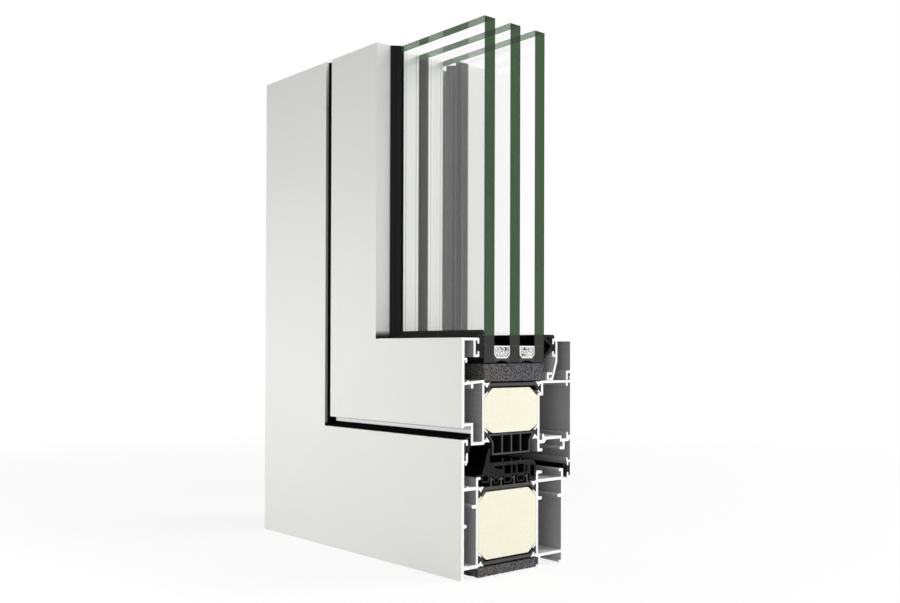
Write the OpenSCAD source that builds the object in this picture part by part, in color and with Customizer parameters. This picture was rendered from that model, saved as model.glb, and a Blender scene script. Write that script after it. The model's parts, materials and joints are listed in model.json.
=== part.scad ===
// Corner sample of a thermally broken aluminium window: a fixed outer frame and an opening sash
// with triple glazing, sawn off square above and to the right of the bottom left corner.
// Sections are drawn with depth to the right, from the outside face, and height upwards.

/* [Sample] */
// Length of the bottom leg, from the corner to its sawn end
sample_length = 216; // [190:1:400]
// Height of the left leg, from the floor to its sawn end
sample_height = 317; // [190:1:600]

/* [Outer frame] */
// Height of the frame's chambers, from the lower web's underside to the upper web's top
frame_box = 45.6; // [42:0.1:47]
// Height of the feet, which is also the thickness of the base foam strip
frame_foot = 5.7; // [4.5:0.1:8]
// Rise of the frame's outside face above the chambers
frame_rise = 26.6; // [24:0.1:30]
// Rise of the frame's inside wall above the chambers
frame_lip = 5.1; // [4.6:0.1:6]
// Depth of the frame's outside profile
frame_out = 12.2; // [10.5:0.1:16]
// Clear width between the frame's two profiles, bridged by the insulating bars
frame_break = 45.7; // [43:0.1:60]
// Depth of the frame's inside profile
frame_in = 22.9; // [18:0.1:32]

/* [Sash] */
// Open joint between the outside faces of frame and sash
face_gap = 6.5; // [5:0.1:9]
// Height of the sash's outside face
sash_face = 50.2; // [47:0.1:60]
// Depth of the sash's outside profile
sash_out = 16.7; // [15.5:0.1:18]
// Depth of the sash's inside profile
sash_in = 29.7; // [28.5:0.1:33]
// How far the sash stands proud of the frame on the inside
sash_proud = 7.8; // [7:0.1:10]
// How far the sash overlaps the top of the frame's inside wall
overlap = 6.1; // [5.5:0.1:7]
// Height from the underside of the glazing rebate's floor to the sash's top
rebate = 26.5; // [25:0.1:28]
// Rise of the outside rebate floor, which drains outwards
rebate_fall = 1.3; // [0.5:0.1:2]
// How far the sash's nose hangs below its outside face
nose_drop = 9.9; // [9:0.1:11]
// Depth of the nose's outside wall behind the outside face
nose_set = 6.9; // [6.5:0.1:8]
// Step in the inside profile's wall above the sash core
core_step = 3; // [2.5:0.1:4]

/* [Hardware groove] */
// Clear opening between the groove's lips
hardware_open = 14.6; // [12:0.1:16]
// Clear width behind the lips
hardware_inside = 19.8; // [18.5:0.1:21]
// Depth from the lips' outer faces to the groove's floor
hardware_depth = 6.7; // [6:0.1:8]
// Thickness of the groove's lips
hardware_lip = 1.8; // [1.4:0.1:2.2]
// Height of the bolt races above the groove's floor
race = 3.6; // [3:0.1:4]

/* [Walls] */
// Thickness of the painted face walls
face_wall = 1.9; // [1.5:0.1:2.4]
// Thickness of inner walls and webs
wall = 1.5; // [1.2:0.1:1.8]
// Thickness of the inside face walls
inside_wall = 1.7; // [1.4:0.1:2.2]
// Thickness of the ribs that locate the corner cleats
rib = 2; // [1.4:0.1:2.6]
// How far those ribs stand off their wall
rib_reach = 3.2; // [2:0.1:4]
// How far the frame's ribs lie below the top of its chambers
rib_drop = 10.1; // [9:0.1:12]
// Height of the rib on the frame's outside wall above the feet
face_rib = 25.2; // [22:0.1:28]

/* [Gasket channels] */
// Thickness of a channel's lips
lip = 1.3; // [1.1:0.1:1.6]
// Depth of the channel behind the lips
channel = 1.4; // [1.2:0.1:1.7]
// Clear opening between the lips
mouth = 4; // [3.4:0.1:4.4]
// How far each lip reaches past its bar
lip_reach = 2.1; // [1.6:0.1:2.6]
// How far the lower lip of the frame's channel reaches past its bar
frame_hook = 4.3; // [3.5:0.1:5]

/* [Insulating bars] */
// Thickness of the bars
bar = 1.8; // [1.4:0.1:2.2]
// Thickness of the hollow bar's walls
cell_wall = 1; // [0.8:0.1:1.4]
// Number of cells in the hollow bar
cells = 4; // [2:1:6]
// Height of the hollow bar's cells block below its feet
cell_drop = 11.6; // [10:0.1:12]
// Set of the hollow bar's slanted sides from the tips of the claws
cell_gap = 1.2; // [0.8:0.1:1.6]
// Reach of the outer claw from its wall
claw_reach = 4.3; // [4:0.1:5]
// Clear opening between the tips of two claws
neck = 2.2; // [1.8:0.1:2.6]
// Height of the dovetail at the wall
dovetail = 5.6; // [5:0.1:6]
// First gasket stem, from the frame's outside profile
stem_first = 9.9; // [9:0.1:11]
// Spacing of the first two stems
stem_pair = 7.7; // [7:0.1:9]
// Spacing of the other stems
stem_pitch = 10.3; // [9:0.1:10.6]
// Height of the stems above their bar
stem_height = 5.1; // [4.6:0.1:5.5]
// Thickness of the stems
stem = 0.9; // [0.7:0.1:1.2]
// Reach of the stems' barbs
barb = 1.3; // [1:0.1:1.5]

/* [Glazing] */
// Thickness of each pane
pane = 8; // [6:0.5:8]
// Width of each cavity between panes
cavity = 12; // [10:0.5:14]
// Depth of the glass behind the outside face
glass_set = 16.25; // [15.5:0.05:17]
// How far the glass edge lies below the sash's top
glass_cover = 14; // [13.5:0.1:15]
// Clear width between the sash's outside lips and the glass
glass_gap = 3.45; // [3:0.05:4]
// Height of the spacer tube in each cavity
spacer_height = 7.2; // [6:0.1:8]
// Wall of the spacer tube
spacer_wall = 0.7; // [0.5:0.1:0.9]
// Height of the sealant below the spacer
sealant = 2.4; // [1.8:0.1:3]
// Clear width between the glass and the bead for the inside gasket
bead_gap = 7.2; // [6.8:0.1:8]
// Width of the bead's channel block, from its lips to the far face of its wall
bead_hook = 4.2; // [4.0:0.1:4.6]
// Height of the catches that hold the bead, above the rebate's floor
bead_catch = 4.9; // [4.5:0.1:5.5]
// Depth of the bead's rear leg in front of the inside wall
bead_leg = 3.6; // [3:0.1:4]

/* [Gaskets] */
// Skin of the large gaskets
gasket_skin = 1.1; // [0.9:0.1:1.3]
// Skin of the hanging loops
loop_skin = 0.9; // [0.7:0.1:1]
// Height of the centre gasket's body above the stems
gasket_height = 8.1; // [7.5:0.1:8.6]
// Spacing of the ribs on top of the centre gasket
gasket_rib = 7.1; // [6:0.1:7.5]
// Gap between the centre gasket's fin and the sash's nose
fin_gap = 2.1; // [1.5:0.1:3]
// Set of the frame gasket's cover lip behind the outside face
cover_set = 2.7; // [2.2:0.1:3.5]
// Depth of the bites in the outside glazing gasket
bite = 0.8; // [0.6:0.1:1]
// Number of rows between those bites
bite_rows = 3; // [2:1:4]
// Height of the outside glazing gasket's lip above the sash
lip_rise = 4.6; // [3.5:0.1:5.5]
// How far that lip covers the sash's rim, out from the gasket's body
lip_cover = 2.6; // [1:0.1:3.5]

/* [Foam and fits] */
// Gap between the foam cores and the insulating bars
core_gap = 0.6; // [0.3:0.1:0.8]
// Run of the chamfers at the corners of the foam cores
core_chamfer = 6.4; // [6:0.1:7]
// Clearance between pieces that slide or clip together
fit = 0.15; // [0.1:0.05:0.25]

/* [Corner cleats] */
// Length of each arm of a corner cleat, from its outer corner
cleat_arm = 75; // [60:1:90]
// Wall of a corner cleat
cleat_wall = 3; // [2:0.5:4]

/* [Hidden] */
$fn = 24;
arc_steps = 6;

// Small forms that repeat: the feet's toes, ridges, the frame's catch and the bead's post
toe = 1.2;
ridge = 1.5;
frame_knob = 3.3;
bead_post = 3.85;

// Depths of the main faces
frame_depth = frame_out + frame_break + frame_in;
frame_inner = frame_out + frame_break;
sash_depth = frame_depth + sash_proud;
sash_inner = sash_depth - sash_in;
sash_step = sash_inner + core_step;
sash_skin = sash_depth - inside_wall;
unit = 3 * pane + 2 * cavity;
glass_back = glass_set + unit;
bead_face = glass_back + bead_gap;
bead_wall = bead_face + bead_hook;

// Heights of the main faces
frame_top = frame_foot + frame_box;
frame_face = frame_top + frame_rise;
frame_step = frame_top + frame_lip;
sash_low = frame_face + face_gap;
sash_top = sash_low + sash_face;
rebate_low = sash_top - rebate;
nose_low = sash_low - nose_drop;
glass_edge = sash_top - glass_cover;
overlap_low = frame_step - overlap;
hardware_floor = nose_low;
hardware_low = hardware_floor - hardware_depth;

// Claws and dovetails, measured from the wall that carries them and the middle of the neck
claw_tip = claw_reach / 2;
claw_rise = neck / 2 + 3;
claw_root = dovetail / 2 + 1.5;
claw_slope = (claw_reach - claw_tip) / (claw_rise - neck / 2);
groove_set = claw_root + 0.3;
foot_half = dovetail / 2 - 1.5 * fit;
neck_half = neck / 2 - fit;
strip_low = neck / 2 + 0.8;
strip_top = strip_low + bar;
claw_clear = 0.25;
claw_dip = 0.3;
bar_throat = claw_reach * 0.68;
bar_elbow = claw_reach + 0.7;
cell_start = claw_reach + claw_clear + 1.6;
// Middles of the four grooves
frame_upper = frame_top - groove_set;
frame_lower = frame_foot + groove_set;
sash_upper = rebate_low + wall + 0.2 - groove_set;
sash_lower = nose_low + groove_set + 0.5;

// Gasket channels, measured from the face of the wall that carries them
channel_depth = channel + lip;
channel_span = 2 * lip + lip_reach + mouth;
channel_total = channel_span + lip_reach;
mouth_drop = lip + lip_reach + mouth / 2;
leg = glass_set - glass_gap - channel_depth;

// Stems on the frame's upper bar
stems = [
    frame_out + stem_first,
    frame_out + stem_first + stem_pair,
    frame_out + stem_first + stem_pair + stem_pitch,
    frame_out + stem_first + stem_pair + 2 * stem_pitch
];
stem_root = frame_upper + strip_top;
stem_tip = stem_root + stem_height;

// Colours
paint = [0.87, 0.87, 0.85];
cream = [0.96, 0.95, 0.87];
dark_foam = [0.36, 0.36, 0.36];
plastic = [0.26, 0.26, 0.26];
rubber = [0.13, 0.13, 0.13];
glass_green = [0.55, 0.68, 0.58, 0.5];
spacer_white = [0.9, 0.9, 0.9];
granule = [0.78, 0.78, 0.76];
sealant_grey = [0.22, 0.22, 0.23];
bare_metal = [0.75, 0.76, 0.77];

// Legs: a section runs along the bottom or up the left side, mitred at the corner

module centred() {
    translate([-sample_length / 2, -sash_depth / 2, 0]) children();
}

module mitre_wedge(length) {
    reach = sash_top + 20;
    translate([0, sash_depth + 10, 0])
        rotate([90, 0, 0])
            linear_extrude(sash_depth + 20)
                polygon([[0, 0], [length, 0], [length, reach], [reach, reach]]);
}

module mitred_run(length) {
    intersection() {
        rotate([90, 0, 90])
            linear_extrude(length)
                children();
        mitre_wedge(length);
    }
}

module bottom_leg() {
    centred() mitred_run(sample_length) children();
}

module left_leg() {
    centred() mirror([1, 0, -1]) mitred_run(sample_height) children();
}

// A section that runs round the corner in one piece
module round_corner() {
    centred() {
        mitred_run(sample_length) children();
        mirror([1, 0, -1]) mitred_run(sample_height) children();
    }
}

// Parts of sections

// An outline, drawn anticlockwise whichever way its points run
function turning(points) =
    let (count = len(points))
    let (turns = [for (i = [0 : count - 1]) cross(points[i], points[(i + 1) % count])])
    turns * [for (turn = turns) 1];
function reversed(points) = [for (i = [len(points) - 1 : -1 : 0]) points[i]];
function anticlockwise(points) = turning(points) > 0 ? points : reversed(points);

module outline(points) {
    polygon(anticlockwise(points));
}

// A rectangle between two opposite corners
module block(y0, z0, y1, z1) {
    outline([[y0, z0], [y1, z0], [y1, z1], [y0, z1]]);
}

// Points of an arc round a middle
function arc(middle, radius, from, sweep) =
    [for (i = [0 : arc_steps])
        let (angle = from + sweep * i / arc_steps)
        middle + radius * [cos(angle), sin(angle)]];

// A rectangle with round corners
module round_block(y0, z0, y1, z1, r) {
    outline(concat(
        arc([y1 - r, z1 - r], r, 0, 90), arc([y0 + r, z1 - r], r, 90, 90),
        arc([y0 + r, z0 + r], r, 180, 90), arc([y1 - r, z0 + r], r, 270, 90)
    ));
}

// A strip of even thickness along a line of points, square where it starts in a wall,
// round at its free end and round at the outside of each bend
function heading(v) = atan2(v[1], v[0]);
function left_of(a, b) = [a[1] - b[1], b[0] - a[0]] / norm(b - a);
function bend(a, b, c, r) =
    let (n = left_of(a, b), m = left_of(b, c), turn = cross(n, m))
    turn * r < 0
        ? arc(b, abs(r), heading(n * r), atan2(turn, n * m))
        : [b + (n + m) * r / (1 + n * m)];
function flank(points, r) =
    [for (i = [0 : len(points) - 2])
        each i == 0
            ? [points[0] + left_of(points[0], points[1]) * r]
            : bend(points[i - 1], points[i], points[i + 1], r)];
function tip(points, r) =
    let (last = len(points) - 1)
    arc(points[last], r, heading(left_of(points[last - 1], points[last])), -180);

module strip(points, thickness) {
    r = thickness / 2;
    outline(concat(flank(points, r), tip(points, r), reversed(flank(points, -r))));
}

// Points of a form set at a wall: side is 1 where it faces inwards, up is 1 where its web is above
function at_wall(points, y, z, side, up) = [for (p = points) [y + side * p[0], z + up * p[1]]];

// A rectangle set at a wall, between two corners given as distances from the wall
module wall_block(y, z, side, u0, v0, u1, v1) {
    outline(at_wall([[u0, v0], [u1, v0], [u1, v1], [u0, v1]], y, z, side, 1));
}

// The pair of claws that grips the foot of an insulating bar
module claws(y, z, side, up) {
    web_claw = [
        [-wall / 2, claw_root], [0, claw_root], [claw_tip * 0.8, claw_rise - claw_dip],
        [claw_reach, claw_rise], [claw_tip, neck / 2], [fit * 2, dovetail / 2],
        [-wall / 2, dovetail / 2]
    ];
    core_claw = [
        [-wall / 2, -claw_root], [0, -claw_root], [claw_tip * 1.2, -strip_low],
        [claw_tip * 1.2, -neck / 2], [claw_tip, -neck / 2],
        [0, -dovetail / 2], [-wall / 2, -dovetail / 2]
    ];
    outline(at_wall(web_claw, y, z, side, up));
    outline(at_wall(core_claw, y, z, side, up));
}

// The dovetail foot of an insulating bar
module bar_foot(y, z, side, up) {
    foot = [[fit, -foot_half], [fit, foot_half], [claw_tip, neck_half], [claw_tip, -neck_half]];
    outline(at_wall(foot, y, z, side, up));
}

// One end of a flat insulating bar, out to a given reach from its wall
module bar_end(y, z, side, up, reach) {
    strap = [
        [claw_tip * 0.9, -neck_half], [claw_tip * 0.9, neck_half * 0.9],
        [claw_tip + claw_clear, neck_half * 0.9],
        [claw_tip + claw_clear + claw_slope * (strip_top - neck_half), strip_top],
        [reach, strip_top], [reach, strip_low],
        [bar_elbow, strip_low], [bar_throat, -neck_half]
    ];
    bar_foot(y, z, side, up);
    outline(at_wall(strap, y, z, side, up));
}

// A flat insulating bar between two walls
module flat_bar(y0, y1, z, up) {
    middle = (y1 - y0) / 2;
    bar_end(y0, z, 1, up, middle + fit);
    bar_end(y1, z, -1, up, middle);
}

// A gasket channel on a wall, with its upper bar's top at z and a lower lip of a given reach
module gasket_channel(y, z, side, low_reach = lip_reach) {
    half = lip / 2;
    edge = channel + half;
    low = -channel_span - low_reach + half;
    strip(at_wall([[-wall / 2, -half], [edge, -half], [edge, -half - lip_reach]], y, z, side, 1), lip);
    strip(at_wall([[-wall / 2, low], [edge, low], [edge, low + low_reach]], y, z, side, 1), lip);
}

// The T-shaped anchor of a gasket in such a channel, with a stalk that reaches past the lips
module gasket_anchor(y, z, side, stalk) {
    head = mouth / 2 + lip_reach * 0.6;
    wall_block(y, z, side, fit, -mouth_drop - head, channel - fit, head - mouth_drop);
    wall_block(y, z, side, fit, fit - mouth_drop - mouth / 2,
        channel_depth + stalk, mouth / 2 - mouth_drop - fit);
}

// A short rib that stands off a wall, with its top at z
module rib_at(y, z, side, reach = rib_reach) {
    strip(at_wall([[-wall / 2, -rib / 2], [reach - rib / 2, -rib / 2]], y, z, side, 1), rib);
}

// A low round ridge on a floor
module ridge_at(y, z) {
    strip([[y, z - wall / 2], [y, z]], ridge);
}

// Outer frame sections

module frame_outside_section() {
    inner = frame_out - wall;
    hook = frame_face - channel_span - frame_hook + lip / 2;
    tail = face_wall + channel - fit;
    knob = frame_step - wall / 2;
    block(0, 0, face_wall, frame_face);
    block(0, frame_face - wall, face_wall + channel, frame_face);
    gasket_channel(face_wall, frame_face, 1, frame_hook);
    strip([[tail, hook], [tail, hook - lip]], lip);
    block(0, frame_top - face_wall, frame_out, frame_top);
    ridge_at(face_wall * 2.4, frame_top);
    block(inner, frame_foot, frame_out, knob);
    strip([[inner + wall / 2, frame_top], [inner + wall / 2, knob], [frame_out + rib - wall / 2, knob]], wall);
    rib_at(inner, frame_top - rib_drop, -1);
    rib_at(face_wall, frame_foot + face_rib, 1, rib);
    block(0, frame_foot, frame_out, frame_foot + face_wall);
    ridge_at(face_wall * 1.6, frame_foot + face_wall);
    strip([[0, toe / 2], [face_wall * 2 - toe / 2, toe / 2]], toe);
    claws(frame_out, frame_upper, 1, 1);
    claws(frame_out, frame_lower, 1, -1);
}

module frame_inside_section() {
    skin = frame_depth - inside_wall;
    half = inside_wall / 2;
    knob = frame_step - half;
    foot = frame_inner + rib + half;
    block(frame_inner, frame_foot, frame_inner + inside_wall, frame_top);
    strip([
        [frame_inner + half, frame_top - wall], [frame_inner + half, knob],
        [frame_inner + half + frame_knob, knob]
    ], inside_wall);
    block(frame_inner, frame_top - inside_wall, frame_depth, frame_top);
    block(frame_inner, frame_foot, frame_depth, frame_foot + inside_wall);
    block(skin, 0, frame_depth, knob);
    strip([[skin + half, frame_top], [skin + half, knob], [skin + half - rib, knob]], inside_wall);
    strip([[frame_depth, toe / 2], [skin - rib + toe / 2, toe / 2]], toe);
    block(foot - half, 0, foot + half, frame_foot + wall);
    strip([[foot, toe / 2], [frame_inner + toe / 2 + fit, toe / 2]], toe);
    strip([[foot, toe / 2], [foot + rib + half - toe / 2, toe / 2]], toe);
    rib_at(frame_inner + inside_wall, frame_top - rib_drop, 1);
    rib_at(skin, frame_top - rib_drop, -1);
    claws(frame_inner, frame_upper, -1, 1);
    claws(frame_inner, frame_lower, -1, -1);
}

// One barb of a stem, on the side that is given
module stem_barb(y, side) {
    barb_points = [
        [-stem / 2, -stem / 2], [0, 0], [stem / 2 + barb, -barb], [stem / 2 + barb * 0.9, -barb * 1.5],
        [stem / 2, -barb * 1.2], [-stem / 2, -barb * 1.2]
    ];
    outline(at_wall(barb_points, y, stem_tip, side, 1));
}

// One upright stem with a barb on one or both sides
module gasket_stem(y, sides) {
    block(y - stem / 2, stem_root - bar / 2, y + stem / 2, stem_tip - stem / 2);
    for (side = sides)
        stem_barb(y, side);
}

module frame_upper_bar_section() {
    flat_bar(frame_out, frame_inner, frame_upper, 1);
    gasket_stem(stems[0], [1]);
    gasket_stem(stems[1], [-1, 1]);
    gasket_stem(stems[2], [-1]);
    gasket_stem(stems[3], [-1]);
}

module frame_lower_bar_section() {
    flat_bar(frame_out, frame_inner, frame_lower, -1);
}

// A foam core between two walls, chamfered to clear the claws, with room for the bars
module foam_core(y0, y1, low_groove, high_groove, low_room, high_room) {
    low = low_groove - neck / 2 + low_room;
    high = high_groove + neck / 2 - high_room;
    low_side = low_groove + claw_root + fit * 2;
    high_side = high_groove - claw_root - fit * 2;
    outline([
        [y0 + fit, low_side], [y0 + core_chamfer, low], [y1 - core_chamfer, low], [y1 - fit, low_side],
        [y1 - fit, high_side], [y1 - core_chamfer, high], [y0 + core_chamfer, high], [y0 + fit, high_side]
    ]);
}

module frame_core_section() {
    foam_core(frame_out, frame_inner, frame_lower, frame_upper, core_gap / 2, core_gap / 2);
}

module base_foam_section() {
    top = min(frame_lower - strip_top, frame_foot) - fit;
    block(frame_out + fit, 0, frame_inner - fit, top);
}

// A closed loop of the centre gasket that hangs between two stems
module gasket_loop(y0, y1, high) {
    side = stem / 2 + barb + fit * 2;
    low = stem_root + gasket_skin;
    difference() {
        round_block(y0 + side, low, y1 - side, high, gasket_skin);
        block(y0 + side + loop_skin, low + loop_skin, y1 - side - loop_skin, stem_tip - loop_skin);
    }
}

// The slanted fin at the outside of the centre gasket, with a short second lip at its tip
module gasket_fin(left, low, roof) {
    inner = stems[0] - stem;
    top = nose_low - fin_gap;
    outline([
        [left, low], [left, frame_step + barb], [left + (inner - left) * 0.33, roof - stem],
        [left + (inner - left) * 0.57, (roof + top) / 2], [inner - barb, top - stem],
        [inner, top], [inner + stem / 2, top - stem], [inner - stem / 2, (roof + top) / 2],
        [inner, roof - stem], [inner, low + barb], [inner - stem, low]
    ]);
    strip([[inner - stem / 2, top - barb], [inner + stem * 0.7, (roof + top) / 2]], stem * 0.7);
}

// The rounded lobe at the inside of the centre gasket
module gasket_lobe(left, low, roof) {
    right = frame_inner - fit;
    outline([
        [left, low + gasket_skin], [left + gasket_skin, low], [right - gasket_skin, low],
        [right, low + gasket_skin], [right, roof - 3 * gasket_skin], [right - gasket_skin, roof - gasket_skin],
        [right - 2.5 * gasket_skin, roof - gasket_skin / 3], [left, roof]
    ]);
}

module centre_gasket_section() {
    base = stem_tip + fit;
    roof = base + gasket_height;
    low = base + gasket_skin;
    high = roof - 2 * gasket_skin;
    left = frame_out + rib + stem;
    box = base - 2.5 * gasket_skin;
    lobe = stems[3] + 2 * barb - stem;
    lobe_low = frame_top + fit * 2;
    difference() {
        union() {
            block(stems[0] - stem - fit, base, lobe + stem, roof);
            gasket_fin(left, box, roof);
            strip([[left + stem, frame_step + fit + stem / 2], [frame_out - wall, frame_step + fit + stem / 2]], stem);
            gasket_lobe(lobe, lobe_low, roof);
            for (i = [0 : 2])
                strip([
                    [stems[1] + barb + i * gasket_rib, roof - stem],
                    [stems[1] + barb + i * gasket_rib - stem / 4, roof + gasket_skin * (2 - i * 0.4) - stem / 2]
                ], stem);
            for (i = [0 : 2])
                gasket_loop(stems[i], stems[i + 1], base + gasket_skin);
        }
        outline([
            [stems[0] + 2 * barb - fit, high], [stems[1] + barb, high], [stems[1] + barb, high - 2 * gasket_skin],
            [stems[0] + 3 * barb - stem, high - gasket_skin]
        ]);
        block(stems[1] + 2 * barb, low, stems[2] - 2 * barb, high);
        block(stems[2] - barb, low, stems[2] + barb, high);
        block(stems[2] + 2 * barb, low, stems[3] - 2 * barb, high);
        block(stems[3] - barb, low, stems[3] + fit, high - stem);
        block(lobe + gasket_skin, lobe_low + 2 * gasket_skin, frame_inner - 1.5 * gasket_skin, high - gasket_skin);
        block(left + stem, box + stem, stems[0] - 2 * barb + fit, base + stem);
    }
}

module frame_outside_gasket_section() {
    start = face_wall + channel_depth + fit;
    end = nose_set - fit;
    middle = frame_face - mouth_drop;
    half = stem * 0.6;
    gasket_anchor(face_wall, frame_face, 1, fit * 2);
    round_block(start, middle - mouth / 2 - fit, start + 2 * half, middle + mouth / 2 + fit, half * 0.8);
    strip([
        [start + half, middle - half], [end - half, middle + mouth / 2],
        [end - half, frame_face + face_gap / 2 - half]
    ], 2 * half);
    strip([[end - half, frame_face + fit + half], [cover_set + half, frame_face + fit + half]], 2 * half);
}

// Sash sections

module sash_outside_section() {
    inner = sash_out - wall;
    hook = glass_edge + wall + lip / 2;
    return_low = sash_low + stem;
    block(0, sash_low, face_wall, sash_top);
    block(0, sash_top - wall, leg + channel, sash_top);
    block(leg - wall, sash_top - channel_total, leg, sash_top);
    gasket_channel(leg, sash_top, 1);
    strip([[0, hook], [face_wall + rib - lip / 2, hook], [face_wall + rib - lip / 2, hook - wall]], lip);
    outline([
        [0, rebate_low], [0, rebate_low + wall], [sash_out, rebate_low + wall + rebate_fall],
        [sash_out, rebate_low + rebate_fall]
    ]);
    ridge_at(face_wall * 2.4, rebate_low + wall + rebate_fall / 3);
    strip([[inner / 2, rebate_low + wall], [inner / 2, rebate_low - rib + inside_wall / 2]], inside_wall);
    block(inner, nose_low, sash_out, rebate_low + wall + rebate_fall);
    block(0, return_low, nose_set + wall, return_low + inside_wall);
    block(nose_set, nose_low, nose_set + wall, return_low + inside_wall);
    block(nose_set, nose_low, sash_out, nose_low + inside_wall);
    claws(sash_out, sash_upper, 1, 1);
    claws(sash_out, sash_lower, 1, -1);
}

// The groove in the sash's underside that takes the window hardware, with an open bolt race
// above each of its shoulders
module hardware_groove_section() {
    left = sash_inner + inside_wall;
    right = left + hardware_inside;
    side_lip = (hardware_inside - hardware_open) / 2;
    half = hardware_lip / 2;
    shelf = hardware_floor - rib;
    left_post = left + side_lip + wall / 2 - fit;
    right_post = right + 2 * rib;
    race_end = right - rib / 2;
    block(left_post - wall / 2, hardware_floor, race_end, hardware_floor + inside_wall);
    block(sash_inner, shelf, left_post + wall / 2, hardware_floor);
    outline([
        [left_post, shelf], [left_post + wall / 2, shelf], [left_post + wall / 2 + rib, hardware_floor],
        [left_post + wall / 2 + rib, hardware_floor + wall], [left_post, hardware_floor + wall]
    ]);
    strip([[left_post, shelf + wall / 2], [left_post, hardware_floor + race - wall / 2]], wall);
    block(right - rib - fit, shelf, race_end, hardware_floor + inside_wall);
    block(right - rib - fit, shelf, right_post, hardware_floor - fit * 2);
    strip([[right_post, shelf + wall / 2], [right_post, hardware_floor + race - wall / 2]], wall);
    outline([
        [right_post, shelf], [right_post + wall / 2, shelf], [sash_skin + wall / 2, hardware_floor],
        [sash_skin + wall / 2, hardware_floor + inside_wall], [right_post, hardware_floor + inside_wall]
    ]);
    strip([[sash_inner, hardware_low + half], [left + side_lip - half, hardware_low + half]], hardware_lip);
    strip([
        [right + half, hardware_floor - fit * 3], [right + half, hardware_low + half],
        [right - side_lip + half, hardware_low + half]
    ], hardware_lip);
}

module sash_inside_section() {
    post = bead_face - bead_post;
    hook = rebate_low + wall + bead_catch - wall / 2;
    ledge = sash_upper - claw_root;
    horn = overlap_low + channel_total - lip;
    block(sash_step, rebate_low, sash_depth, rebate_low + wall);
    strip([[post, rebate_low + wall / 2], [post, hook], [post + rib_reach - fit * 2, hook]], wall);
    strip([[sash_skin - bead_leg + wall / 2, rebate_low + wall],
        [sash_skin - bead_leg + wall / 2, rebate_low - rib + wall / 2]], inside_wall);
    block(sash_step, ledge, sash_step + inside_wall, rebate_low + wall);
    block(sash_inner, ledge, sash_step + inside_wall, ledge + toe);
    block(sash_inner, hardware_low, sash_inner + inside_wall, ledge + toe);
    block(sash_skin, overlap_low, sash_depth, rebate_low + wall);
    hardware_groove_section();
    gasket_channel(sash_skin, overlap_low + channel_total, -1);
    strip([[sash_skin - channel - lip / 2, horn], [sash_skin - channel_depth, horn + lip + stem]], lip);
    claws(sash_step, sash_upper, -1, 1);
    claws(sash_inner, sash_lower, -1, -1);
}

module sash_upper_bar_section() {
    flat_bar(sash_out, sash_step, sash_upper, 1);
}

// One end of the hollow bar with its slanted side, out to a given reach
function slant(reach) = neck_half * 0.9 + (reach - claw_tip - cell_gap) / claw_slope;

module hollow_bar_end(y, z, side, reach) {
    body = [
        [claw_tip * 0.9, -neck_half], [bar_throat, -neck_half], [claw_reach, -neck / 5],
        [reach, -neck / 5], [reach, cell_drop], [cell_start, cell_drop],
        [cell_start, slant(cell_start)],
        [claw_tip + cell_gap, neck_half * 0.9], [claw_tip * 0.9, neck_half * 0.9]
    ];
    bar_foot(y, z, side, -1);
    outline(at_wall(body, y, z, side, -1));
}

// The slanted corner of an end cell, one wall inside the slanted side
module end_corner(y, z, side) {
    top = cell_wall - neck / 5;
    lean = cell_wall * norm([1, claw_slope]);
    inner = cell_start + cell_wall;
    corner = claw_tip + cell_gap + lean + claw_slope * (top - neck_half * 0.9);
    low = slant(inner - lean);
    points = [[corner, top], [inner + fit, top], [inner + fit, low], [inner, low]];
    outline(at_wall(points, y, z, side, -1));
}

module sash_lower_bar_section() {
    middle = (sash_inner - sash_out) / 2;
    start = sash_out + cell_start + cell_wall;
    end = sash_inner - cell_start - cell_wall;
    pitch = (end - start + cell_wall) / cells;
    difference() {
        union() {
            hollow_bar_end(sash_out, sash_lower, 1, middle + fit);
            hollow_bar_end(sash_inner, sash_lower, -1, middle);
        }
        for (i = [0 : cells - 1])
            block(start + i * pitch, sash_lower - cell_drop + cell_wall,
                start + (i + 1) * pitch - cell_wall, sash_lower + neck / 5 - cell_wall);
        end_corner(sash_out, sash_lower, 1);
        end_corner(sash_inner, sash_lower, -1);
    }
}

module sash_core_section() {
    foam_core(sash_out, sash_inner, sash_lower, sash_upper, core_gap + neck / 2 + neck / 5, core_gap / 2);
}

module glazing_foam_section() {
    low = rebate_low + wall + fit;
    shelf = low + rebate_fall;
    high = glass_edge - core_gap;
    outline([
        [glass_set, shelf], [sash_out + fit, shelf], [sash_out + claw_tip, low], [glass_back, low],
        [glass_back, high], [glass_set, high]
    ]);
}

module outside_glazing_gasket_section() {
    start = leg + channel_depth + fit;
    low = sash_top - channel_total;
    row = (channel_total - lip) / bite_rows;
    gasket_anchor(leg, sash_top, 1, fit * 2);
    difference() {
        outline([
            [start, low], [start, sash_top + fit], [start - lip_cover, sash_top + fit],
            [start - lip_cover, sash_top + bite], [glass_set - bite, sash_top + lip_rise],
            [glass_set, sash_top + lip_rise - bite], [glass_set, low], [glass_set - 2 * bite, low - stem]
        ]);
        for (i = [0 : bite_rows])
            translate([glass_set, sash_top + bite - i * row])
                outline([[fit, 1.2 * bite], [-bite, 0], [fit, -1.2 * bite]]);
    }
}

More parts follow.
